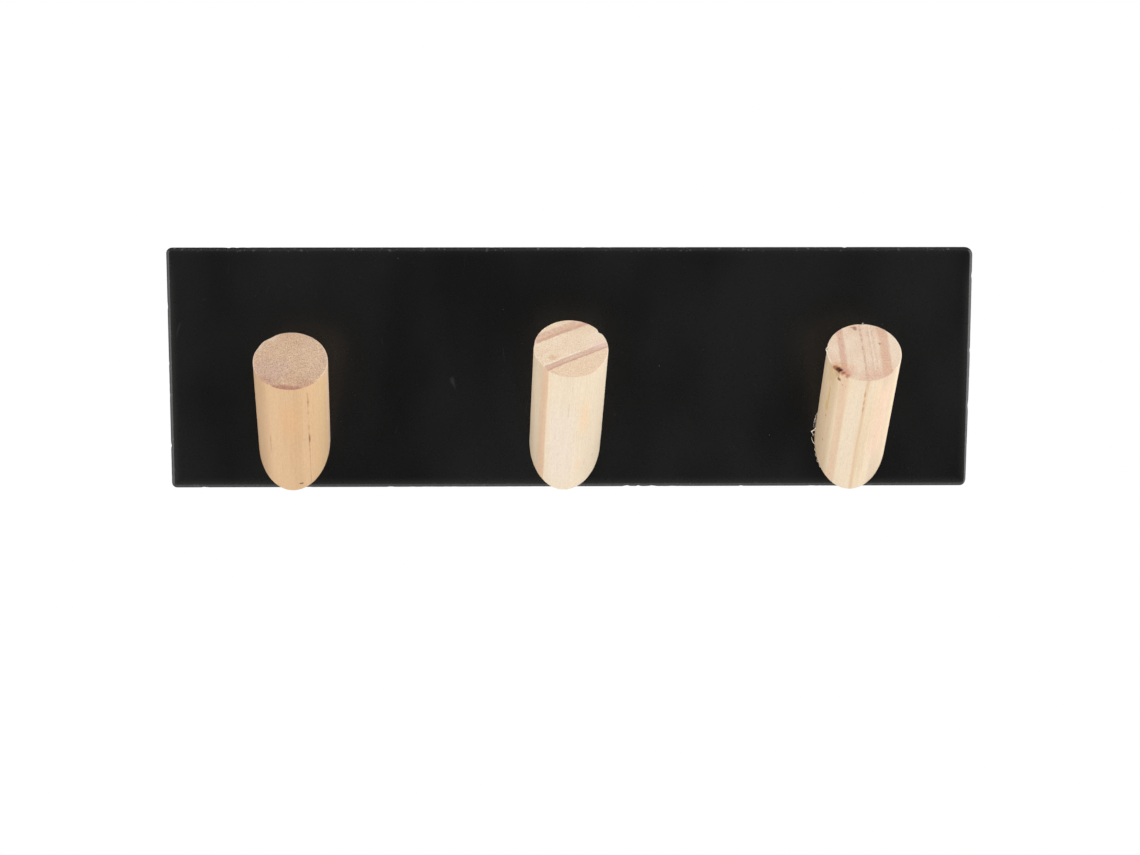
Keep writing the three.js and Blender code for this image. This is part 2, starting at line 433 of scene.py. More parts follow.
def middle_grain(settings):
    """Cream with two broad pink growth rings across the end."""
    return Grain(
        turn=29.5, wobble=0.35, grit=1.0, blush=0.6,
        end=tone(238, 216, 189), end_deep=tone(228, 198, 168),
        side=settings.cream_tone, side_deep=tone(232, 210, 178),
        rings=[
            Ring(6.5, 7.9, 0.6, 1.0, (206, 160, 136), 0.9, (222, 190, 160), 0.5),
            Ring(7.8, 9.8, 0.8, 1.0, (214, 172, 148), 0.8, (222, 190, 160), 0.5, 0.2),
            Ring(-4.9, -2.8, 0.4, 1.2, (216, 178, 158), 0.85, (226, 190, 156), 0.75),
            Ring(-4.9, -4.2, 0.4, 0.5, (202, 158, 138), 0.75, (224, 186, 152), 0.3),
            Ring(-3.4, -2.9, 0.4, 0.4, (206, 166, 148), 0.5, (226, 190, 156), 0.0, 0.5),
            Ring(-2.6, -2.2, 0.3, 0.3, (250, 240, 224), 0.6, (236, 221, 194), 0.0, 0.8),
            Ring(-12.5, -5.0, 0.2, 0.3, (233, 202, 172), 0.6, (238, 224, 202), 0.2),
        ],
        marks=[
            # Painted shade: the left flank greyer and darker down the whole length
            Mark(-76, 32, 16, *WHOLE_LENGTH, (209, 189, 162), 0.78),
            Mark(-7, 20, 16, -7, 32, 14, (238, 222, 206), 0.65),
            Mark(54, 26, 26, *WHOLE_LENGTH, (225, 208, 183), 0.75),
            Mark(28, 7, 11, 19, 34, 9, (238, 207, 170), 0.65),
            Mark(22, 5, 8, -2, 4, 4, (238, 211, 178), 0.5),
            Mark(-44, 7, 9, *WHOLE_LENGTH, (221, 188, 158), 0.75),
            Mark(1, 0.7, 1.2, 28, 35, 2, (206, 178, 146), 0.6, 0.4),
            Mark(33, 3.0, 3, 0, 3, 1.6, (228, 196, 180), 0.6),
            Mark(50, 1.6, 1.6, 2.4, 3.6, 0.6, (190, 176, 158), 0.5),
        ],
        spots=[
            Spot(-5.8, -4.2, 1.1, 0.8, 0.9, (216, 170, 118), 0.6),
            Spot(-4.2, -3.6, 0.8, 0.5, 0.9, (226, 186, 140), 0.4),
            Spot(9.0, 2.2, 2.6, 1.4, 0.9, ROSE, 0.6),
        ],
    )


def right_grain(settings):
    """Cream with upright growth rings, a resin streak, and a torn knot on the lower left rim."""
    return Grain(
        turn=-90, wobble=0.5, grit=1.0, blush=0.8,
        end=tone(236, 213, 189), end_deep=tone(226, 194, 168),
        side=settings.cream_tone, side_deep=tone(230, 206, 172),
        rings=[
            Ring(-8.1, -6.1, 0.6, 0.8, (214, 170, 148), 0.85, (224, 187, 158), 0.6),
            Ring(-0.6, 0.1, 0.5, 0.6, (196, 150, 126), 0.75, (206, 162, 116), 0.25, 0.6),
            Ring(-0.8, 0.5, 0.8, 0.9, (226, 196, 172), 0.2, (226, 188, 148), 0.5),
            Ring(1.9, 2.4, 0.4, 0.5, (212, 176, 156), 0.6, (226, 200, 168), 0.25, 0.7),
            Ring(2.6, 2.9, 0.3, 0.3, (248, 236, 222), 0.5, (236, 221, 194), 0.0, 0.8),
            Ring(3.2, 3.7, 0.4, 0.5, (212, 176, 156), 0.55, (226, 200, 168), 0.2, 0.8),
            Ring(5.2, 8.1, 1.2, 0.5, (219, 176, 149), 0.85, (228, 196, 168), 0.55),
        ],
        marks=[
            # Painted shade: the left flank darker down the whole length
            Mark(-77, 30, 16, *WHOLE_LENGTH, (205, 178, 144), 0.74),
            Mark(38, 14, 16, *WHOLE_LENGTH, (216, 196, 171), 0.8),
            # Painted highlight: the right flank whitish down the whole length
            Mark(84, 12, 14, *WHOLE_LENGTH, (250, 236, 218), 0.5),
            Mark(-39.5, 1.2, 1.2, 41.0, 41.8, 0.5, (196, 140, 100), 0.7),
            Mark(-33.5, 1.0, 1.0, 41.2, 41.8, 0.5, (196, 140, 100), 0.6),
            Mark(30, 14, 14, 6, 42, 10, (238, 206, 180), 0.6),
            Mark(-52, 5.0, 4.0, 43.5, 50, 2.0, (196, 150, 112), 0.7, 0.3),
            Mark(-62.5, 1.4, 1.4, 24, 36, 3, AMBER, 0.9, 0.3),
            Mark(-65.5, 2.6, 2.4, 24, 28, 2, (206, 168, 112), 0.65),
            Mark(-63, 8.0, 9.0, 38, 50, 5, (205, 176, 132), 0.6),
            Mark(-60, 1.4, 1.6, -6, 20, 3, (226, 188, 164), 0.6, 0.4),
            Mark(-47, 3.0, 1.8, 42.5, 43.7, 0.5, (138, 86, 54), 0.9),
            Mark(0.5, 0.9, 1.2, 30, 41, 2, (176, 128, 92), 0.7, 0.9, drift=-0.07),
            Mark(13, 0.9, 1.4, -2, 8, 3, (212, 180, 146), 0.5, 0.2),
            Mark(-63, 1.3, 1.3, 20.4, 21.6, 0.6, (180, 134, 96), 0.7),
            Mark(-62, 1.2, 1.2, 7.4, 8.6, 0.6, (180, 134, 96), 0.6),
        ],
        spots=[
            Spot(3, -10.5, 5.5, 2.4, 0.6, (222, 182, 160), 0.7),
            Spot(10.2, 0, 2.0, 8, 0.5, (238, 218, 194), 0.6),
            Spot(-9.4, -6.6, 2.8, 2.4, 0.8, (212, 166, 120), 0.75, True),
            Spot(-7.3, -8.6, 2.4, 1.7, 0.8, (212, 156, 138), 0.75),
            Spot(-9.3, -6.5, 1.0, 0.55, 0.6, DARK_KNOT, 0.95, True),
            Spot(-8.6, -7.3, 0.8, 0.6, 0.6, (62, 20, 16), 1.0, True),
            Spot(-10.1, -5.8, 0.9, 0.5, 0.7, (160, 92, 60), 0.85, True),
            Spot(-7.7, -8.4, 0.7, 0.45, 0.7, (156, 92, 70), 0.85, True),
            Spot(-6.6, -9.6, 0.7, 0.5, 0.7, (180, 116, 80), 0.8, True),
            Spot(-7.6, -9.3, 0.5, 0.3, 0.6, (246, 222, 204), 0.8),
            Spot(-2.6, 10.4, 0.8, 0.4, 0.6, (176, 128, 104), 0.7),
            Spot(-1.9, 9.9, 0.6, 0.8, 0.6, (150, 98, 76), 0.8),
            Spot(5.3, 3.2, 0.4, 0.4, 0.5, (160, 118, 96), 0.7),
            Spot(-4.5, -6.3, 0.9, 0.8, 0.7, (232, 184, 150), 0.6),
        ],
    )


GRAINS = {"left": left_grain, "middle": middle_grain, "right": right_grain}


def bare_wood(side, settings):
    """Sawn and sanded softwood. The grain runs down the dowel, so one pattern serves end and side."""
    peg = Peg(side, settings)
    grain = GRAINS[side](settings)
    wood = Finish(f"bare_wood_{side}")
    local = wood.millimetres(peg.foot, peg.turn)
    x, y, along = wood.parts(local)
    radius = peg.radius / MM
    angle = wood.product(wood.math("ARCTAN2", x, wood.product(y, -1.0)), math.degrees(1))
    slope = settings.out_of_square / MM / (2 * radius)
    level = wood.total(along, wood.product(y, slope), radius * slope - peg.length / MM)
    sawn = wood.ramp(level, -0.42, -0.2)

    # Fibres, half a millimetre and finer across, and many times as long
    coarse = wood.noise(local, 0.9, 2.0, 0.6, stretch=(1.0, 1.0, 0.035))
    fine = wood.noise(local, 2.6, 3.0, 0.65, stretch=(1.0, 1.0, 0.035))
    clouds = wood.noise(local, 0.16, 3.0, 0.5, stretch=(1.0, 1.0, 0.12))
    pore = wood.ramp(wood.noise(local, 2.2, 1.0, stretch=(1.0, 1.0, 0.09)), 0.66, 0.76)
    nap = wood.noise(local, 2.6, 2.0, 0.7, stretch=(1.0, 1.0, 0.3))

    # Grains, white flakes and dark specks that the saw left on the end
    stipple = wood.noise(local, 2.9, 2.0, 0.8)
    flake = wood.ramp(wood.noise(local, 2.7, 1.0), 0.64, 0.76)
    speck = wood.ramp(wood.noise(local, 2.4, 1.0, stretch=(1.0, 0.7, 1.0)), 0.62, 0.72)

    blush = wood.product(wood.ramp(clouds, 0.3, 0.75), grain.blush)
    end = wood.mix(blush, solid(grain.end), solid(grain.end_deep))
    long = wood.mix(blush, solid(grain.side), solid(grain.side_deep))

    ring_angle = math.radians(grain.turn)
    ring_place = wood.total(
        wood.product(x, -math.sin(ring_angle)),
        wood.product(y, math.cos(ring_angle)),
        wood.product(wood.math("SUBTRACT", clouds, 0.5), grain.wobble * 2),
        wood.product(wood.math("SUBTRACT", coarse, 0.5), grain.wobble * 1.8))
    patches = wood.noise(local, 0.9, 2.0, stretch=(1.0, 1.0, 0.1))
    mottle = wood.scaled(patches, 0.65, 1.25)
    for ring in grain.rings:
        inside = wood.window(ring_place, ring.low, ring.high, ring.soft_low, ring.soft_high)
        gaps = wood.scaled(wood.ramp(patches, 0.42, 0.56), 1.0 - ring.broken, 1.0)
        end = wood.paint(end, ring.end_tint, inside, mottle, gaps, ring.end_depth)
        long = wood.paint(long, ring.side_tint, inside, ring.side_depth)

    for mark in grain.marks:
        centre = wood.total(angle, wood.product(along, -mark.drift))
        across = wood.window(
            centre, mark.angle - mark.spread, mark.angle + mark.spread, mark.soft, mark.soft)
        within = wood.window(along, mark.start, mark.stop, mark.fade, mark.fade)
        cover = wood.product(across, within, mark.depth)
        if mark.dashed:
            dash = wood.noise(local, 0.55, 2.0, stretch=(0.3, 0.3, 1.0))
            gaps = wood.scaled(wood.ramp(dash, 0.4, 0.6), 1.0 - mark.dashed, 1.0)
            cover = wood.product(cover, gaps)
        long = wood.paint(long, mark.tint, cover)

    end = wood.paint(end, WHITE_FIBRE_AND_HIGHLIGHT, flake, 0.2 * grain.grit)

    near_end = wood.ramp(level, -1.5, -0.7)
    rim_highlight_share = 1.0
    for spot in grain.spots:
        cover = wood.spot(x, y, (spot.x, spot.y), (spot.wide, spot.high), spot.soft)
        end = wood.paint(end, spot.tint, cover, spot.depth)
        if spot.over_rim:
            # No painted rim highlight across a knot that runs over the rim
            rim_highlight_share = wood.product(wood.inverse(cover), rim_highlight_share)
            long = wood.paint(long, spot.tint, cover, near_end, spot.depth)

    streaks = wood.total(
        wood.scaled(coarse, -0.05, 0.05), wood.scaled(fine, -0.07, 0.07), 1.0,
        wood.scaled(nap, -0.16, 0.16), wood.product(pore, -0.08))
    long = wood.shade(long, streaks)
    grit = wood.total(
        wood.scaled(stipple, -0.5 * grain.grit, 0.5 * grain.grit), 1.0,
        wood.scaled(fine, -0.12 * grain.grit, 0.12 * grain.grit),
        wood.product(speck, -0.14 * grain.grit))
    end = wood.shade(end, grit)
    colour = wood.mix(sawn, long, end)

    # Painted highlight: the raised fibres along the upper rim of the sawn end are whitened, not on the
    # lower rim and not across a knot
    rim = wood.window(level, -0.35, -0.05, 0.2, 0.1)
    rim_highlight_share = wood.product(wood.ramp(y, -9.0, -3.0), rim_highlight_share)
    colour = wood.paint(colour, WHITE_FIBRE_AND_HIGHLIGHT, rim, fine, 0.7, rim_highlight_share)

    rough = wood.scaled(coarse, 0.6, 0.74)
    rough = wood.total(rough, wood.product(sawn, 0.12))
    saw = wood.noise(local, 1.6, 2.0, stretch=(0.25, 2.2, 1.0))
    side_relief = wood.total(wood.product(coarse, 0.5), fine, wood.product(pore, -0.6))
    end_relief = wood.total(stipple, wood.product(speck, -0.8), wood.product(saw, 0.8))
    height = wood.total(
        wood.product(side_relief, wood.inverse(sawn)), wood.product(end_relief, sawn))
    wood.surface(
        base_color=colour, roughness=rough, specular_ior_level=0.22,
        normal=wood.relief(height, 0.05 * MM))
    return wood.material


def torn_fibre(settings):
    """Pale raised fibre, a little translucent."""
    fibre = Finish("torn_fibre")
    spot = fibre.millimetres()
    tint = fibre.mix(
        fibre.noise(spot, 1.5, 2.0), solid(tone(252, 246, 238)), solid(settings.cream_tone))
    fibre.surface(base_color=tint, roughness=0.7, subsurface_weight=0.15)
    return fibre.material


def bright_zinc(settings):
    """Zinc plate with turning marks, a bluish bloom and duller patches."""
    zinc = Finish("bright_zinc")
    spot = zinc.millimetres()
    bloom = zinc.noise(spot, 0.9, 3.0, 0.6)
    bluish = zinc.ramp(bloom, 0.35, 0.7)
    tint = zinc.mix(bluish, solid(settings.zinc_colour), solid((0.42, 0.44, 0.48)))
    dull = zinc.ramp(zinc.noise(spot, 2.5, 2.0), 0.62, 0.75)
    tint = zinc.mix(dull, tint, solid((0.62, 0.58, 0.46)))
    turning = zinc.noise(spot, 3.0, 2.0, stretch=(0.2, 4.0, 0.2))
    rough = zinc.scaled(bloom, 0.24, 0.42)
    zinc.surface(
        base_color=tint, metallic=1.0, roughness=rough, normal=zinc.relief(turning, 0.01 * MM))
    return zinc.material


def white_foam(settings):
    """Closed-cell foam: a pattern of cells and a thin glossy coat all over."""
    foam = Finish("white_foam")
    spot = foam.millimetres()
    distance, chance = foam.cells(spot, 4.0)
    clouds = foam.noise(spot, 0.08, 2.0)
    tint = foam.shade(solid(settings.foam_colour), foam.scaled(clouds, 0.93, 1.03))
    tint = foam.shade(tint, foam.scaled(distance, 1.0, 0.86))
    grain = foam.parts(chance)[0]
    tint = foam.shade(tint, foam.scaled(grain, 0.97, 1.02))
    rough = foam.scaled(foam.noise(spot, 0.4, 3.0), 0.3, 0.55)
    ripple = foam.noise(spot, 0.25, 2.0)
    normal = foam.relief(distance, 0.08 * MM)
    normal = foam.relief(ripple, 0.25 * MM, below=normal)
    foam.surface(base_color=tint, roughness=rough, normal=normal, coat_weight=0.25)
    return foam.material


# ---------------------------------------------------------------- shared mesh work


def piece(bm, name, material, slot, *nodes):
    """Weld and close a bmesh, make it a piece of the rack, and let it stand for its CAD nodes."""
    bmesh.ops.remove_doubles(bm, verts=bm.verts, dist=WELD)
    bmesh.ops.recalc_face_normals(bm, faces=bm.faces)
    for face in bm.faces:
        face.smooth = True
    for edge in bm.edges:
        edge.smooth = edge.calc_face_angle(0.0) < CREASE
    mesh = bpy.data.meshes.new(name)
    bm.to_mesh(mesh)
    bm.free()
    mesh.materials.append(material)
    made = add_object(name, mesh)
    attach(made, "root")
    if nodes:
        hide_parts(*nodes)
    return made


def verts_of(result):
    return [item for item in result["geom"] if isinstance(item, bmesh.types.BMVert)]


def faces_of(result):
    return [item for item in result["geom"] if isinstance(item, bmesh.types.BMFace)]


def region(faces):
    """Faces with their edges, which an extrusion needs to take the old faces away."""
    return list(faces) + list({edge for face in faces for edge in face.edges})


def ring(bm, centre, radius, segments):
    """The edges of a circle round the Y axis."""
    turn = Matrix.Translation(centre) @ Matrix.Rotation(math.pi / 2, 4, "X")
    made = bmesh.ops.create_circle(bm, cap_ends=False, radius=radius, segments=segments, matrix=turn)
    return list({edge for vert in made["verts"] for edge in vert.link_edges})


def fill(bm, edges, outward):
    """Close the area between some loops of edges with triangles."""
    bmesh.ops.triangle_fill(bm, use_beauty=True, use_dissolve=False, edges=edges, normal=outward)


def turn_round(bm, outline, steps):
    """Turn an outline of (radius, height) points about the Z axis."""
    line = [bm.verts.new((radius, 0, height)) for radius, height in outline]
    edges = [bm.edges.new(pair) for pair in zip(line, line[1:])]
    bmesh.ops.spin(
        bm, geom=line + edges, cent=(0, 0, 0), axis=(0, 0, 1), dvec=(0, 0, 0), angle=math.tau,
        steps=steps, use_merge=True, use_duplicate=False)
    bmesh.ops.remove_doubles(bm, verts=bm.verts, dist=WELD)


def nearness(distance, reach):
    """1 at no distance, falling to 0 at the reach."""
    return max(0.0, 1 - distance / reach)


def share_of(value, least=0.0):
    return min(1.0, max(least, value))


def cut_sheet(low, high, radii, depth, step, corner_segments):
    """A closed sheet with rounded corners, its back at high.y, and its front face."""
    bm = bmesh.new()
    middle = (low + high) / 2
    bmesh.ops.create_grid(bm, x_segments=1, y_segments=1, size=0.5)
    bmesh.ops.scale(bm, vec=(high.x - low.x, high.z - low.z, 1), verts=bm.verts)
    upright = Matrix.Translation((middle.x, high.y, middle.z)) @ Matrix.Rotation(math.pi / 2, 4, "X")
    bmesh.ops.transform(bm, matrix=upright, verts=bm.verts)
    for corner in list(bm.verts):
        which = (corner.co.x > middle.x) + 2 * (corner.co.z > middle.z)
        bmesh.ops.bevel(
            bm, geom=[corner], offset=radii[which], offset_type="OFFSET", segments=corner_segments,
            profile=0.5, affect="VERTICES", material=-1)
    for edge in list(bm.edges):
        cuts = int(edge.calc_length() / step)
        if cuts:
            bmesh.ops.subdivide_edges(bm, edges=[edge], cuts=cuts)
    grown = bmesh.ops.extrude_face_region(bm, geom=bm.faces[:])
    bmesh.ops.translate(bm, vec=(0, -depth, 0), verts=verts_of(grown))
    bmesh.ops.recalc_face_normals(bm, faces=bm.faces)
    front = faces_of(grown)[0]
    back = min(bm.faces, key=lambda face: abs(face.calc_center_median().y - high.y) - face.calc_area())
    return bm, front, back


def step_in(bm, face, outline):
    """Inset a face again and again, so that its rim follows an outline of (inward, outward)."""
    for (inward, outward), (next_inward, next_outward) in zip(outline, outline[1:]):
        bmesh.ops.inset_region(
            bm, faces=[face], thickness=next_inward - inward, depth=next_outward - outward,
            use_boundary=True, use_even_offset=True)


def arc(centre, radius, start, stop, segments):
    """Points of an arc. 90 degrees points out of the side, 0 out of the face."""
    turns = (start + (stop - start) * i / segments for i in range(segments + 1))
    return [(centre[0] - radius * math.sin(turn), centre[1] + radius * math.cos(turn)) for turn in turns]


# ---------------------------------------------------------------- back plate

RIM_SEGMENTS = 6
CRISP_RADIUS = 0.25 * MM
CRISP_SEGMENTS = 3
SUPPORT = 0.25 * MM
OUTLINE_STEP = 0.9 * MM
CORNER_SEGMENTS = 8
HOLE_SEGMENTS = 48
MOUTH_RADIUS = 4.0 * MM
MOUTH_DEPTH = 0.3 * MM

# Chips in the cut edges of the plate: which edge, place along it, width and depth in millimetres
Chip = namedtuple("Chip", "edge place width depth")
CHIPS = (
    Chip("top", -114.5, 1.2, 0.22), Chip("top", -111.3, 0.8, 0.18), Chip("top", 92, 1.0, 0.2),
    Chip("bottom", -124, 1.4, 0.2), Chip("bottom", 19, 1.6, 0.3), Chip("bottom", 23, 1.2, 0.3),
    Chip("bottom", 27.5, 2.0, 0.25), Chip("bottom", 58, 1.0, 0.18), Chip("bottom", -61, 1.2, 0.2),
    Chip("left", 21, 1.0, 0.25), Chip("left", -26, 1.2, 0.25), Chip("left", 2, 0.8, 0.15),
    Chip("right", 31, 1.6, 0.2), Chip("right", 5.5, 0.9, 0.22), Chip("right", -13, 2.4, 0.2),
)
EDGE_SEEDS = {"top": 3.1, "bottom": 17.4, "left": 29.8, "right": 41.2}
OUT_OF_TRUE = 0.45 * MM  # how far the lower right corner was sheared short
CHIP_FADE = 1.4 * MM  # how far in from the outline the chips are felt
TEETH = 1.7 * MM  # size of the small chips along the edges
PATCHES = 14 * MM  # size of the stretches that have them


def nibble(edge, place, chipping):
    """How far the cut edge falls short of the straight line at a place along it."""
    seed = EDGE_SEEDS[edge]
    teeth = max(0.0, noise.noise(Vector((place / TEETH, seed, 5.0))))
    patchy = max(0.0, noise.noise(Vector((place / PATCHES, seed, 9.0))) + 0.1)
    depth = chipping * 1.2 * teeth * patchy
    if edge == "right":
        depth += OUT_OF_TRUE * max(0.0, -place / PLATE_HIGH.z)
    for chip in CHIPS:
        if chip.edge == edge:
            away = (place / MM - chip.place) / chip.width
            depth += chip.depth * MM * math.exp(-away * away * 4)
    return depth


def plate_outline(settings):
    """(inward, outward) points from the side of the plate, over its edge, onto the front."""
    slope = settings.bevel_slope
    points = arc((settings.edge_radius, 0.0), settings.edge_radius, math.pi / 2, slope, RIM_SEGMENTS)
    inward, outward = points[-1]
    inward += settings.bevel_width
    outward += settings.bevel_width * math.tan(slope)
    centre = (inward + CRISP_RADIUS * math.sin(slope), outward - CRISP_RADIUS * math.cos(slope))
    points += arc(centre, CRISP_RADIUS, slope, 0.0, CRISP_SEGMENTS)
    points.append((points[-1][0] + SUPPORT, points[-1][1]))
    return points


def build_plate(settings):
    outline = plate_outline(settings)
    thickness = PLATE_HIGH.y - PLATE_LOW.y
    rise = outline[-1][1]
    if rise >= thickness:
        raise RuntimeError("the front edge of the plate is rounded further than its thickness")
    bm, front, back = cut_sheet(
        PLATE_LOW, PLATE_HIGH, settings.corner_radii, thickness - rise, OUTLINE_STEP, CORNER_SEGMENTS)
    step_in(bm, front, outline)
    # Three countersunk holes, open from behind
    bmesh.ops.delete(bm, geom=[back], context="FACES_ONLY")
    front_rim = list(front.edges)
    back_rim = [edge for edge in bm.edges if edge.is_boundary]
    bmesh.ops.delete(bm, geom=[front], context="FACES_ONLY")
    for side in SIDES:
        screw_low, screw_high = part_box(f"screw_{side}")
        centre = (screw_low + screw_high) / 2
        loops = []
        wide = PLATE_HIGH.y - MOUTH_DEPTH
        for y, radius in ((FRONT, BORE_MOUTH), (wide, MOUTH_RADIUS), (PLATE_HIGH.y, MOUTH_RADIUS)):
            loops.append(ring(bm, (centre.x, y, centre.z), radius, HOLE_SEGMENTS))
        front_rim += loops[0]
        back_rim += loops[2]
        for first, second in zip(loops, loops[1:]):
            bmesh.ops.bridge_loops(bm, edges=first + second)
    fill(bm, front_rim, (0, -1, 0))
    fill(bm, back_rim, (0, 1, 0))
    # The cut edges are a little wavy and chipped, never outside the straight line
    half = (PLATE_HIGH - PLATE_LOW) / 2
    for vert in bm.verts:
        x = vert.co.x - PLATE_MIDDLE.x
        z = vert.co.z - PLATE_MIDDLE.z
        end_share = nearness(half.x - abs(x), CHIP_FADE)
        side_share = nearness(half.z - abs(z), CHIP_FADE)
        if end_share:
            end = "right" if x > 0 else "left"
            vert.co.x -= math.copysign(end_share * nibble(end, z, settings.chipping), x)
        if side_share:
            side = "top" if z > 0 else "bottom"
            vert.co.z -= math.copysign(side_share * nibble(side, x, settings.chipping), z)
    piece(bm, "coated_plate", satin_coat(settings), "black_paint", "back_plate")


# ---------------------------------------------------------------- pegs

PEG_STEPS = 180
RIM_STEPS = 4
CAP_RINGS = 8
ROW = 0.7 * MM
BORE_END = 17.1 * MM  # from the back of the plate
SPARE_FOOT = 2 * MM  # dowel behind the plate's front, sawn off again
SAW_SLANT = 4 * MM  # how far down the dowel the slant of the sawn end reaches
LEAST_SANDED = 0.01 * MM

# A planed flat down the side, narrower at the foot, and a chip out of the rim of the sawn end
Flat = namedtuple("Flat", "angle half_angle foot_half_angle")
RimChip = namedtuple("RimChip", "angle width depth drop")
FLATS = {
    "left": (),
    "middle": (Flat(-53, 15, 6),),
    "right": (),
}
RIM_CHIPS = {
    "left": (
        RimChip(-27, 1.0, 0.2, 1.0), RimChip(-140, 3.4, 0.3, 0.5), RimChip(-112, 3.0, 0.2, 0.6),
    ),
    "middle": (
        RimChip(130, 1.5, 0.55, 0.8), RimChip(-96, 1.6, 0.25, 0.5), RimChip(5, 8.0, 0.13, 0.6),
    ),
    "right": (
        RimChip(-54, 1.8, 0.45, 1.2), RimChip(-38, 1.4, 0.35, 0.6), RimChip(-101, 1.0, 0.3, 0.7),
        RimChip(178, 1.2, 0.15, 0.5),
    ),
}


class Peg:
    """Where one peg stands: its foot on the plate, its turn, its length and its own axes."""

    def __init__(self, side, settings):
        self.side = side
        self.radius = settings.diameter / 2
        stance = STANCES[side]
        low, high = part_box(f"screw_{side}")
        self.screw = (low + high) / 2
        self.foot = Vector((self.screw.x + stance.shift * MM, FRONT, self.screw.z - SCREW_ABOVE_AXIS))
        self.turn = Euler((math.pi / 2 - settings.rise, math.radians(stance.lean), 0.0))
        self.matrix = Matrix.Translation(self.foot) @ self.turn.to_matrix().to_4x4()
        self.axis = self.turn.to_matrix() @ Vector((0, 0, 1))
        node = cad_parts[f"peg_{side}"]
        self.length = max((vert.co - self.foot).dot(self.axis) for vert in node.data.vertices)
        self.reach_back = self.radius / math.tan(settings.rise) + SPARE_FOOT


def degrees_between(first, second):
    """From the second direction to the first, the short way round."""
    return (first - second + 180) % 360 - 180


def shaved(peg, place, settings):
    """A point of the turned dowel, moved inward as planing, sanding and sawing left it."""
    radius = math.hypot(place.x, place.y)
    angle = math.degrees(math.atan2(place.x, -place.y))
    around = Vector((math.sin(math.radians(angle)), math.cos(math.radians(angle)), 0.0))
    seed = SIDES.index(peg.side) * 7.3
    waves = noise.noise(around * 0.9 + Vector((seed, 0.0, place.z / (26 * MM))))
    ripple = noise.noise(around * 5.0 + Vector((seed, 3.0, place.z / (9 * MM))))
    short = (0.05 + 0.05 * waves + 0.03 * ripple) * MM
    for flat in FLATS[peg.side]:
        away = abs(degrees_between(angle, flat.angle))
        rise = share_of(place.z / peg.length)
        half_angle = flat.foot_half_angle + (flat.half_angle - flat.foot_half_angle) * rise ** 0.5
        if away < half_angle:
            chord = math.cos(math.radians(half_angle)) / math.cos(math.radians(away))
            short = max(short, peg.radius * (1 - chord) + 0.05 * MM)
    from_end = peg.length - place.z
    drop = 0.0
    for chip in RIM_CHIPS[peg.side]:
        away = math.radians(degrees_between(angle, chip.angle)) * peg.radius / MM / chip.width
        near = math.exp(-away * away * 3)
        short += chip.depth * MM * near * nearness(from_end / MM, 3 * chip.drop)
        drop += 0.5 * chip.depth * MM * near * (radius / peg.radius) ** 12
    scale = 1 - max(short, LEAST_SANDED) / peg.radius
    moved = Vector((place.x * scale, place.y * scale, place.z))
    # The saw ran a little out of square: the top of the end is shorter than the bottom
    share = nearness(from_end, SAW_SLANT)
    moved.z -= share * settings.out_of_square * (place.y + peg.radius) / (2 * peg.radius)
    moved.z -= drop * nearness(from_end, MM)
    if from_end < 0.01 * MM:
        moved.z -= 0.02 * MM * (1 + noise.noise(place / MM * 1.3))
    return moved


def build_peg(side, settings):
    peg = Peg(side, settings)
    bm = bmesh.new()
    rim_break = settings.rim_break
    inner = peg.radius - rim_break
    outline = [(inner * i / CAP_RINGS, peg.length) for i in range(CAP_RINGS)]
    for i in range(RIM_STEPS + 1):
        turn = math.pi / 2 * i / RIM_STEPS
        outline.append(
            (inner + rim_break * math.sin(turn), peg.length - rim_break * (1 - math.cos(turn))))
    top = peg.length - rim_break
    rows = int((top + peg.reach_back) / ROW)
    outline += [(peg.radius, top - (top + peg.reach_back) * (i + 1) / rows) for i in range(rows)]
    turn_round(bm, outline, PEG_STEPS)
    for vert in bm.verts:
        vert.co = shaved(peg, vert.co, settings)
    bmesh.ops.transform(bm, matrix=peg.matrix, verts=bm.verts)
    # Saw the foot off flat against the plate and drill it for the screw
    bmesh.ops.bisect_plane(
        bm, geom=bm.verts[:] + bm.edges[:] + bm.faces[:], dist=WELD,
        plane_co=(0, FRONT, 0), plane_no=(0, 1, 0), clear_outer=True)
    foot_rim = [edge for edge in bm.edges if edge.is_boundary]
    mouth = ring(bm, (peg.screw.x, FRONT, peg.screw.z), BORE_MOUTH, HOLE_SEGMENTS)
    fill(bm, foot_rim + mouth, (0, 1, 0))
    bore_depth = BORE_END - (PLATE_HIGH.y - PLATE_LOW.y)
    lip = BORE_MOUTH - BORE_RADIUS
    inner_ring = ring(bm, (peg.screw.x, FRONT - lip, peg.screw.z), BORE_RADIUS, HOLE_SEGMENTS)
    end_ring = ring(bm, (peg.screw.x, FRONT - bore_depth, peg.screw.z), BORE_RADIUS, HOLE_SEGMENTS)
    bmesh.ops.bridge_loops(bm, edges=mouth + inner_ring)
    bmesh.ops.bridge_loops(bm, edges=inner_ring + end_ring)
    bmesh.ops.edgeloop_fill(bm, edges=end_ring)
    slot = "warm_wood" if side == "left" else "pale_wood"
    piece(bm, f"dowel_{side}", bare_wood(side, settings), slot, f"peg_{side}")


# ---------------------------------------------------------------- torn fibres on the right peg

FIBRE_SIDES = 6
FIBRE_STEPS = 6  # between two points of a route
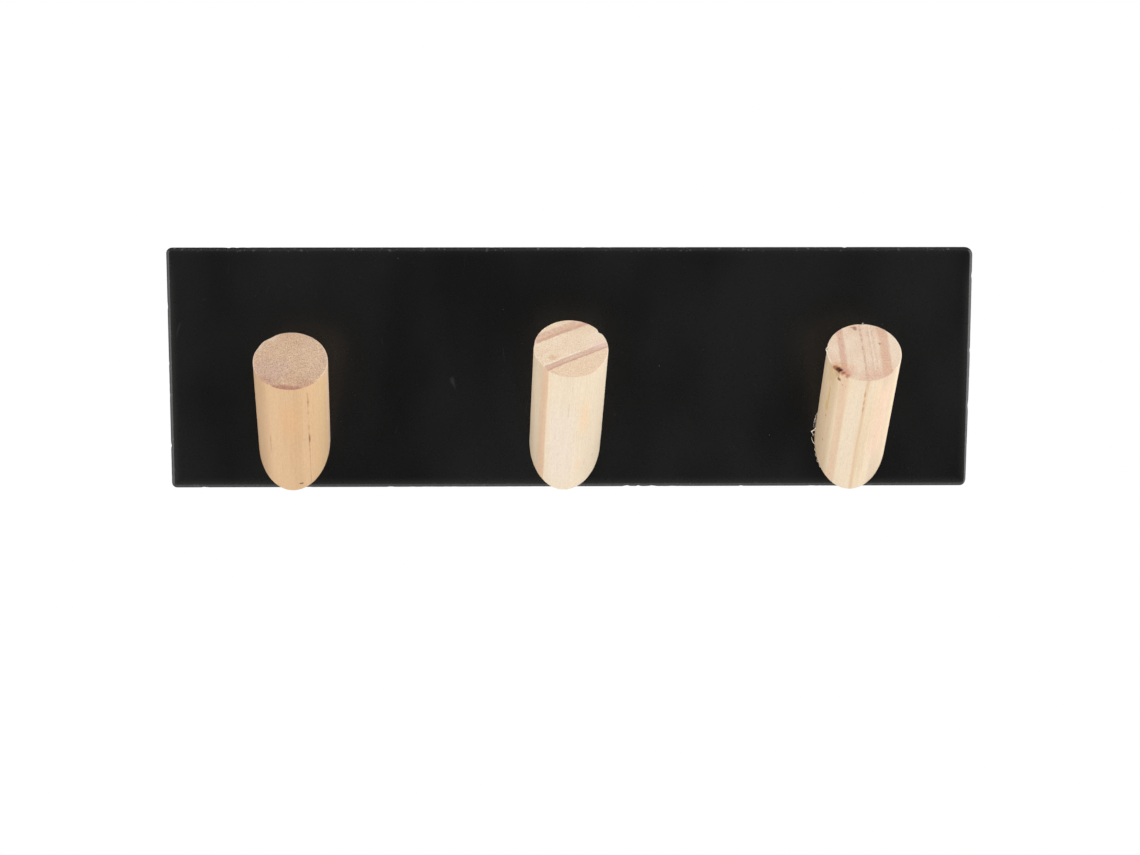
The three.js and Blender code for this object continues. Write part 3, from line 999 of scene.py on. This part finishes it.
# A fibre runs through points given as (degrees round the peg, mm out of its side, mm along it)
Fibre = namedtuple("Fibre", "thickness route")
FIBRES = (
    # A thick curl at the foot, and the hook above it
    Fibre(0.26, ((-83, -0.3, -0.5), (-85, 0.3, 0.0), (-88, 0.8, 0.7), (-91, 1.1, 1.7))),
    Fibre(0.24, (
        (-92, -0.2, 6.6), (-92, 0.5, 5.6), (-92, 1.15, 4.5), (-91, 0.8, 3.5), (-91, 0.2, 2.7))),
    Fibre(0.22, ((-92, 0.1, 5.2), (-92, 0.8, 4.9), (-93, 1.35, 4.4), (-93, 1.3, 3.8))),
    Fibre(0.14, ((-91, -0.1, 3.2), (-92, 0.4, 3.0), (-92, 0.7, 2.4), (-91, 0.4, 1.8))),
    # Hairs lifted off the side
    Fibre(0.09, (
        (-95, -0.1, 14.2), (-96, 0.45, 12.4), (-96, 0.6, 10.1), (-95, 0.8, 8.0),
        (-93, 0.8, 6.0))),
    Fibre(0.07, (
        (-97, -0.1, 13.0), (-98, 0.25, 10.8), (-96, 0.45, 9.0), (-94, 0.3, 7.2),
        (-93, 0.6, 5.6))),
    Fibre(0.06, ((-94, -0.1, 10.0), (-95, 0.6, 9.4), (-95, 0.85, 10.4), (-96, 0.3, 11.2))),
    # The torn edge of the foot
    Fibre(0.18, ((-76, -0.2, -1.9), (-77, 0.3, -1.7), (-79, 0.4, -0.9))),
    Fibre(0.16, ((-70, -0.2, -3.4), (-71, 0.3, -3.3), (-73, 0.35, -2.5))),
    Fibre(0.18, ((-63, -0.2, -4.9), (-64, 0.3, -4.8), (-67, 0.3, -3.9))),
    Fibre(0.14, ((-56, -0.2, -6.2), (-57, 0.25, -6.1), (-60, 0.2, -5.2))),
    # A sliver on the rim of the sawn end, and a hair at its top
    Fibre(0.26, (
        (-104, -0.4, 46.5), (-97, 0.25, 46.68), (-90, 0.0, 46.72), (-82, -0.12, 46.7),
        (-74, -0.3, 46.7), (-67, -0.7, 46.6))),
    Fibre(0.16, ((177, -0.3, 46.3), (176, 0.1, 46.4), (174, 0.25, 46.4))),
)


def curve_point(points, share):
    """A point of the smooth curve through some points, at a share of the way along."""
    place = share * (len(points) - 1)
    i = min(int(place), len(points) - 2)
    t = place - i
    before, start, stop, after = (
        points[max(i - 1, 0)], points[i], points[i + 1], points[min(i + 2, len(points) - 1)])
    return 0.5 * (
        2 * start + (stop - before) * t + (2 * before - 5 * start + 4 * stop - after) * t ** 2
        + (3 * start - before - 3 * stop + after) * t ** 3)


def grow_fibre(bm, points, thickness):
    """A tapering tube that follows a smooth curve and ends in a fine tip."""
    steps = FIBRE_STEPS * (len(points) - 1)
    route = [curve_point(points, i / steps) for i in range(steps + 1)]
    widths = [
        (1 - 0.8 * (i / steps) ** 4) * (1 + 0.4 * noise.noise(place / (0.5 * MM)))
        for i, place in enumerate(route)]
    heading = (route[1] - route[0]).normalized()
    made = bmesh.ops.create_circle(
        bm, cap_ends=True, radius=thickness / 2 * widths[0], segments=FIBRE_SIDES,
        matrix=Matrix.Translation(route[0]) @ heading.to_track_quat("Z", "Y").to_matrix().to_4x4())
    tip = made["verts"][0].link_faces[0]
    for i in range(1, steps + 1):
        grown = bmesh.ops.extrude_face_region(bm, geom=region([tip]))
        tip = faces_of(grown)[0]
        ends = list(tip.verts)
        bmesh.ops.translate(bm, vec=route[i] - route[i - 1], verts=ends)
        following = (route[min(i + 1, steps)] - route[i - 1]).normalized()
        turn = heading.rotation_difference(following).to_matrix()
        bmesh.ops.rotate(bm, cent=route[i], matrix=turn, verts=ends)
        heading = following
        share = widths[i] / widths[i - 1]
        bmesh.ops.scale(
            bm, vec=(share, share, share), space=Matrix.Translation(-route[i]), verts=ends)


def build_fibres(settings):
    peg = Peg("right", settings)
    bm = bmesh.new()
    for fibre in FIBRES:
        points = []
        for angle, out, along in fibre.route:
            spoke = Vector((math.sin(math.radians(angle)), -math.cos(math.radians(angle)), 0))
            local = spoke * (peg.radius + out * MM) + Vector((0, 0, along * MM))
            points.append(peg.matrix @ local)
        grow_fibre(bm, points, fibre.thickness * MM)
    piece(bm, "dowel_right_fibres", torn_fibre(settings), "pale_wood")


# ---------------------------------------------------------------- screws

SCREW_STEPS = 48
SCREW_HEAD_RADIUS = 3.8 * MM
SCREW_HEAD_RIM = 0.2 * MM
SCREW_TIP = 3 * MM
SCREW_EDGE = 0.08 * MM  # break at the rim of the head
HEAD_CONE = 1.2 * MM  # the flank of the head has a row of points this far in
THREAD_ROWS = 14  # rows of points in one pitch
RIDGE = 0.22  # half the width of the thread's ridge, as a share of the pitch
RECESS_TURN = {"left": 20, "middle": 57, "right": 94}  # where each screw came to rest, in degrees
RECESS_TAPER = 0.55


def thread_radius(settings, depth, angle, start, stop):
    """Radius of the screw at a depth below its head: a ridge that winds round a core."""
    core = settings.root_diameter / 2
    ridge = settings.diameter / 2 - core
    turn = (depth / settings.pitch - angle / math.tau) % 1.0
    crest = nearness(abs(turn - 0.5), RIDGE)
    near_head = share_of((depth - start) / settings.pitch)
    point = share_of((stop - depth) / SCREW_TIP, least=0.02)
    return (core + ridge * crest * near_head) * point ** 0.8


def build_screw(side, settings, zinc):
    low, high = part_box(f"screw_{side}")
    centre = (low + high) / 2
    length = high.y - low.y
    cone_end = SCREW_HEAD_RIM + SCREW_HEAD_RADIUS - settings.root_diameter / 2
    bm = bmesh.new()
    # The outline runs along Z, from the rim of the head to the point, and is laid along -Y below
    outline = [
        (SCREW_HEAD_RADIUS - SCREW_EDGE, 0.0),
        (SCREW_HEAD_RADIUS, SCREW_EDGE),
        (SCREW_HEAD_RADIUS, SCREW_HEAD_RIM),
        (SCREW_HEAD_RADIUS - HEAD_CONE, SCREW_HEAD_RIM + HEAD_CONE),
        (settings.root_diameter / 2, cone_end),
    ]
    rows = int((length - cone_end) / settings.pitch * THREAD_ROWS)
    shank = [cone_end + (length - cone_end) * (i + 1) / rows for i in range(rows)]
    outline += [(settings.root_diameter / 2, depth) for depth in shank]
    turn_round(bm, outline, SCREW_STEPS)
    for vert in bm.verts:
        if vert.co.z > cone_end + WELD:
            angle = math.atan2(vert.co.y, vert.co.x)
            radius = thread_radius(settings, vert.co.z, angle, cone_end, length)
            spoke = Vector((vert.co.x, vert.co.y, 0)).normalized()
            vert.co = spoke * radius + Vector((0, 0, vert.co.z))
    rims = [edge for edge in bm.edges if edge.is_boundary]
    head_rim = [edge for edge in rims if edge.verts[0].co.z < cone_end]
    point_rim = [edge for edge in rims if edge.verts[0].co.z > cone_end]
    bmesh.ops.edgeloop_fill(bm, edges=point_rim)
    # Cross recess: a grid of three by three without its corners, sunk and tapered
    grid = bmesh.ops.create_grid(bm, x_segments=3, y_segments=3, size=settings.recess_width / 2)
    inner = settings.recess_slot / 2
    for vert in grid["verts"]:
        for axis in (0, 1):
            if abs(vert.co[axis]) < settings.recess_width / 3:
                vert.co[axis] = math.copysign(inner, vert.co[axis])
    cells = list({face for vert in grid["verts"] for face in vert.link_faces})
    middles = {face: face.calc_center_median() for face in cells}
    corners = [face for face in cells if min(abs(middles[face].x), abs(middles[face].y)) > inner]
    bmesh.ops.delete(bm, geom=corners, context="FACES")
    cross = [face for face in cells if face.is_valid]
    cross_rim = list({edge for face in cross for edge in face.edges if edge.is_boundary})
    fill(bm, head_rim + cross_rim, (0, 0, -1))
    sunk = bmesh.ops.extrude_face_region(bm, geom=region(cross))
    floor_verts = verts_of(sunk)
    bmesh.ops.translate(bm, vec=(0, 0, settings.recess_depth), verts=floor_verts)
    bmesh.ops.scale(bm, vec=(RECESS_TAPER, RECESS_TAPER, 1), verts=floor_verts)
    slant = math.radians(RECESS_TURN[side])
    laid = Matrix.Translation((centre.x, high.y, centre.z)) @ Matrix.Rotation(math.pi / 2, 4, "X")
    bmesh.ops.transform(bm, matrix=laid @ Matrix.Rotation(slant, 4, "Z"), verts=bm.verts)
    piece(bm, f"wood_screw_{side}", zinc, "zinc_steel", f"screw_{side}")


# ---------------------------------------------------------------- foam tape

TAPE_STEP = 1.5 * MM
TAPE_WANDER = 0.12 * MM
WANDER_REACH = 1.5 * MM  # how far in from its edges a strip is pulled about
LONG_WAVES = 9 * MM
SHORT_WAVES = 3 * MM
TAPE_CORNER = 0.4 * MM


def build_tape(row, settings, foam):
    low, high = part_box(f"tape_{row}")
    edge = settings.edge_round
    roll = arc((edge, 0.0), edge, math.pi / 2, 0.0, 3)
    roll.append((roll[-1][0] + SUPPORT, roll[-1][1]))
    bm, front, back = cut_sheet(
        low, high - Vector((0, edge, 0)), [TAPE_CORNER] * 4, high.y - low.y - 2 * edge, TAPE_STEP, 3)
    step_in(bm, front, roll)
    step_in(bm, back, roll)
    half = (high - low) / 2
    middle = (low + high) / 2
    seed = ROWS.index(row) * 11.7
    for vert in bm.verts:
        x = vert.co.x - middle.x
        z = vert.co.z - middle.z
        near_side = nearness(half.z - abs(z), WANDER_REACH)
        near_end = nearness(half.x - abs(x), WANDER_REACH)
        sign = math.copysign(1.0, z)
        wander = 0.5 + 0.5 * noise.noise(Vector((x / LONG_WAVES, seed + sign, 0.0)))
        vert.co.z -= sign * near_side * TAPE_WANDER * wander
        wander = 0.5 + 0.5 * noise.noise(Vector((z / SHORT_WAVES, seed + math.copysign(4.0, x), 0.0)))
        vert.co.x -= math.copysign(near_end * TAPE_WANDER * 2 * wander, x)
    piece(bm, f"foam_strip_{row}", foam, "foam_tape", f"tape_{row}")


# ---------------------------------------------------------------- studio

FLOOR_SIZE = 3.0
# Brightness of the surround, by where a ray goes: forward past the camera, sideways to a tent of
# white cloth, back behind the rack, and back behind it when a shiny surface mirrors it
DIM_FRONT = 0.105
TENT_GLOW = 1.1
DIM_BACK = 0.4
DIM_SHINE = 0.12

# Soft rectangular lights: place and size in metres, the setting that powers each and its share of it,
# and whether the shiny coat mirrors it
Light = namedtuple("Light", "name place size power share mirrored")
LIGHTS = (
    Light("light_left", (-0.95, -0.42, 0.05), (0.5, 1.1), "side_power", 0.6, True),
    Light("light_right", (0.95, -0.12, 0.05), (0.5, 1.1), "side_power", 0.95, True),
    Light("light_above", (0.0, -0.5, 0.95), (1.4, 0.5), "top_power", 1.0, False),
    Light("light_below", (0.0, -0.5, -0.95), (1.4, 0.5), "top_power", 1.0, True),
    Light("light_fill", (0.1, -0.85, -0.45), (0.6, 0.4), "fill_power", 1.0, False),
)


def hang(light, settings):
    """Put up one light, aimed at the rack and not itself seen."""
    lamp = bpy.data.lights.new(light.name, "AREA")
    lamp.shape = "RECTANGLE"
    lamp.size, lamp.size_y = light.size
    lamp.energy = getattr(settings, light.power) * light.share
    hung = add_object(light.name, lamp)
    hung.location = light.place
    hung.rotation_euler = (-Vector(light.place)).to_track_quat("-Z", "Y").to_euler()
    hung.visible_camera = False
    hung.visible_glossy = light.mirrored


def white_surround():
    """White where the camera looks past the rack, and a dim studio for everything else."""
    world = bpy.data.worlds.new("studio")
    world.use_nodes = True
    bpy.context.scene.world = world
    sky = Nodes(world.node_tree)
    ray = sky.add("ShaderNodeLightPath")
    _, y, z = sky.parts(sky.add("ShaderNodeTexCoord")["Generated"])

    def choose(kind_of_ray, otherwise, value):
        inputs = {0: ray[kind_of_ray], 2: otherwise, 3: value}
        return sky.add("ShaderNodeMix", inputs, data_type="FLOAT")[0]

    front = sky.ramp(y, -0.88, -0.5, DIM_FRONT, TENT_GLOW)
    glow = sky.total(front, sky.ramp(y, 0.1, 0.5, 0.0, DIM_BACK - TENT_GLOW))
    # A flag keeps the tent from shining along the outer edge and the top of the plate
    shine = sky.total(front, sky.ramp(y, -0.15, 0.2, 0.0, DIM_SHINE - TENT_GLOW))
    shine = sky.product(shine, sky.ramp(z, 0.35, 0.75, 1.0, 0.35))
    seen = choose("Is Camera Ray", choose("Is Glossy Ray", glow, shine), 1.0)
    sky.feed(world.node_tree.nodes["Background"], {"Color": seen})


def build_studio(settings):
    camera_data = bpy.data.cameras.new("camera")
    camera_data.lens = settings.lens
    camera_data.sensor_width = 36
    camera_data.sensor_fit = "HORIZONTAL"
    camera_data.clip_start = 0.01
    camera = add_object("camera", camera_data)
    camera.location = settings.eye
    camera.rotation_euler = settings.aim
    scene = bpy.context.scene
    scene.camera = camera
    scene.view_settings.view_transform = "Standard"

    white_surround()
    for light in LIGHTS:
        hang(light, settings)

    bm = bmesh.new()
    bmesh.ops.create_grid(bm, x_segments=2, y_segments=2, size=FLOOR_SIZE / 2)
    bmesh.ops.translate(bm, vec=(0, 0, -settings.floor_drop), verts=bm.verts)
    mesh = bpy.data.meshes.new("floor")
    bm.to_mesh(mesh)
    bm.free()
    paper = Finish("pale_floor")
    mottle = paper.noise(paper.place, 3.0, 3.0)
    tint = paper.mix(mottle, solid((0.86, 0.86, 0.85)), solid((0.82, 0.82, 0.81)))
    paper.surface(base_color=tint, roughness=0.8)
    mesh.materials.append(paper.material)
    add_object("floor", mesh)


# ---------------------------------------------------------------- operators and panel


class RACK_OT_studio(bpy.types.Operator):
    """Set up the camera, the soft lights, the white surround and the pale floor"""
    bl_idname = "rack.studio"
    bl_label = "Studio"

    def execute(self, context):
        build_studio(context.scene.rack_studio)
        return {"FINISHED"}


class RACK_OT_plate(bpy.types.Operator):
    """Make the coated back plate with its bevelled edge and countersunk holes"""
    bl_idname = "rack.plate"
    bl_label = "Back plate"

    def execute(self, context):
        build_plate(context.scene.rack_plate)
        return {"FINISHED"}


class RACK_OT_pegs(bpy.types.Operator):
    """Make the three sawn dowel pegs"""
    bl_idname = "rack.pegs"
    bl_label = "Pegs"

    def execute(self, context):
        for side in SIDES:
            build_peg(side, context.scene.rack_pegs)
        return {"FINISHED"}


class RACK_OT_fibres(bpy.types.Operator):
    """Make the torn fibres that stand out of the right peg"""
    bl_idname = "rack.fibres"
    bl_label = "Torn fibres"

    def execute(self, context):
        build_fibres(context.scene.rack_pegs)
        return {"FINISHED"}


class RACK_OT_screws(bpy.types.Operator):
    """Make the countersunk wood screws that hold the pegs"""
    bl_idname = "rack.screws"
    bl_label = "Screws"

    def execute(self, context):
        settings = context.scene.rack_screws
        zinc = bright_zinc(settings)
        for side in SIDES:
            build_screw(side, settings, zinc)
        return {"FINISHED"}


class RACK_OT_tape(bpy.types.Operator):
    """Make the three strips of foam tape on the back"""
    bl_idname = "rack.tape"
    bl_label = "Foam tape"

    def execute(self, context):
        settings = context.scene.rack_tape
        foam = white_foam(settings)
        for row in ROWS:
            build_tape(row, settings, foam)
        return {"FINISHED"}


class RACK_PT_panel(bpy.types.Panel):
    """Lists the settings and the steps of the rack"""
    bl_idname = "RACK_PT_panel"
    bl_label = "Hook Rack"
    bl_space_type = "VIEW_3D"
    bl_region_type = "UI"
    bl_category = "Hook Rack"

    def draw(self, context):
        for group, steps in STEPS.items():
            box = self.layout.box()
            settings = getattr(context.scene, group)
            for name in settings.__annotations__:
                box.prop(settings, name)
            for step in steps:
                box.operator(step.bl_idname)


STEPS = {
    "rack_studio": (RACK_OT_studio,),
    "rack_plate": (RACK_OT_plate,),
    "rack_pegs": (RACK_OT_pegs, RACK_OT_fibres),
    "rack_screws": (RACK_OT_screws,),
    "rack_tape": (RACK_OT_tape,),
}
SETTINGS = {
    "rack_studio": RackStudioSettings,
    "rack_plate": RackPlateSettings,
    "rack_pegs": RackPegSettings,
    "rack_screws": RackScrewSettings,
    "rack_tape": RackTapeSettings,
}


def register():
    for name, group in SETTINGS.items():
        bpy.utils.register_class(group)
        setattr(bpy.types.Scene, name, PointerProperty(type=group))
    for steps in STEPS.values():
        for step in steps:
            bpy.utils.register_class(step)
    bpy.utils.register_class(RACK_PT_panel)


def unregister():
    bpy.utils.unregister_class(RACK_PT_panel)
    for steps in STEPS.values():
        for step in steps:
            bpy.utils.unregister_class(step)
    for name, group in SETTINGS.items():
        delattr(bpy.types.Scene, name)
        bpy.utils.unregister_class(group)


def main():
    register()
    bpy.ops.rack.studio()
    bpy.ops.rack.plate()
    bpy.ops.rack.pegs()
    bpy.ops.rack.fibres()
    bpy.ops.rack.screws()
    bpy.ops.rack.tape()


if __name__ == "__main__":
    main()
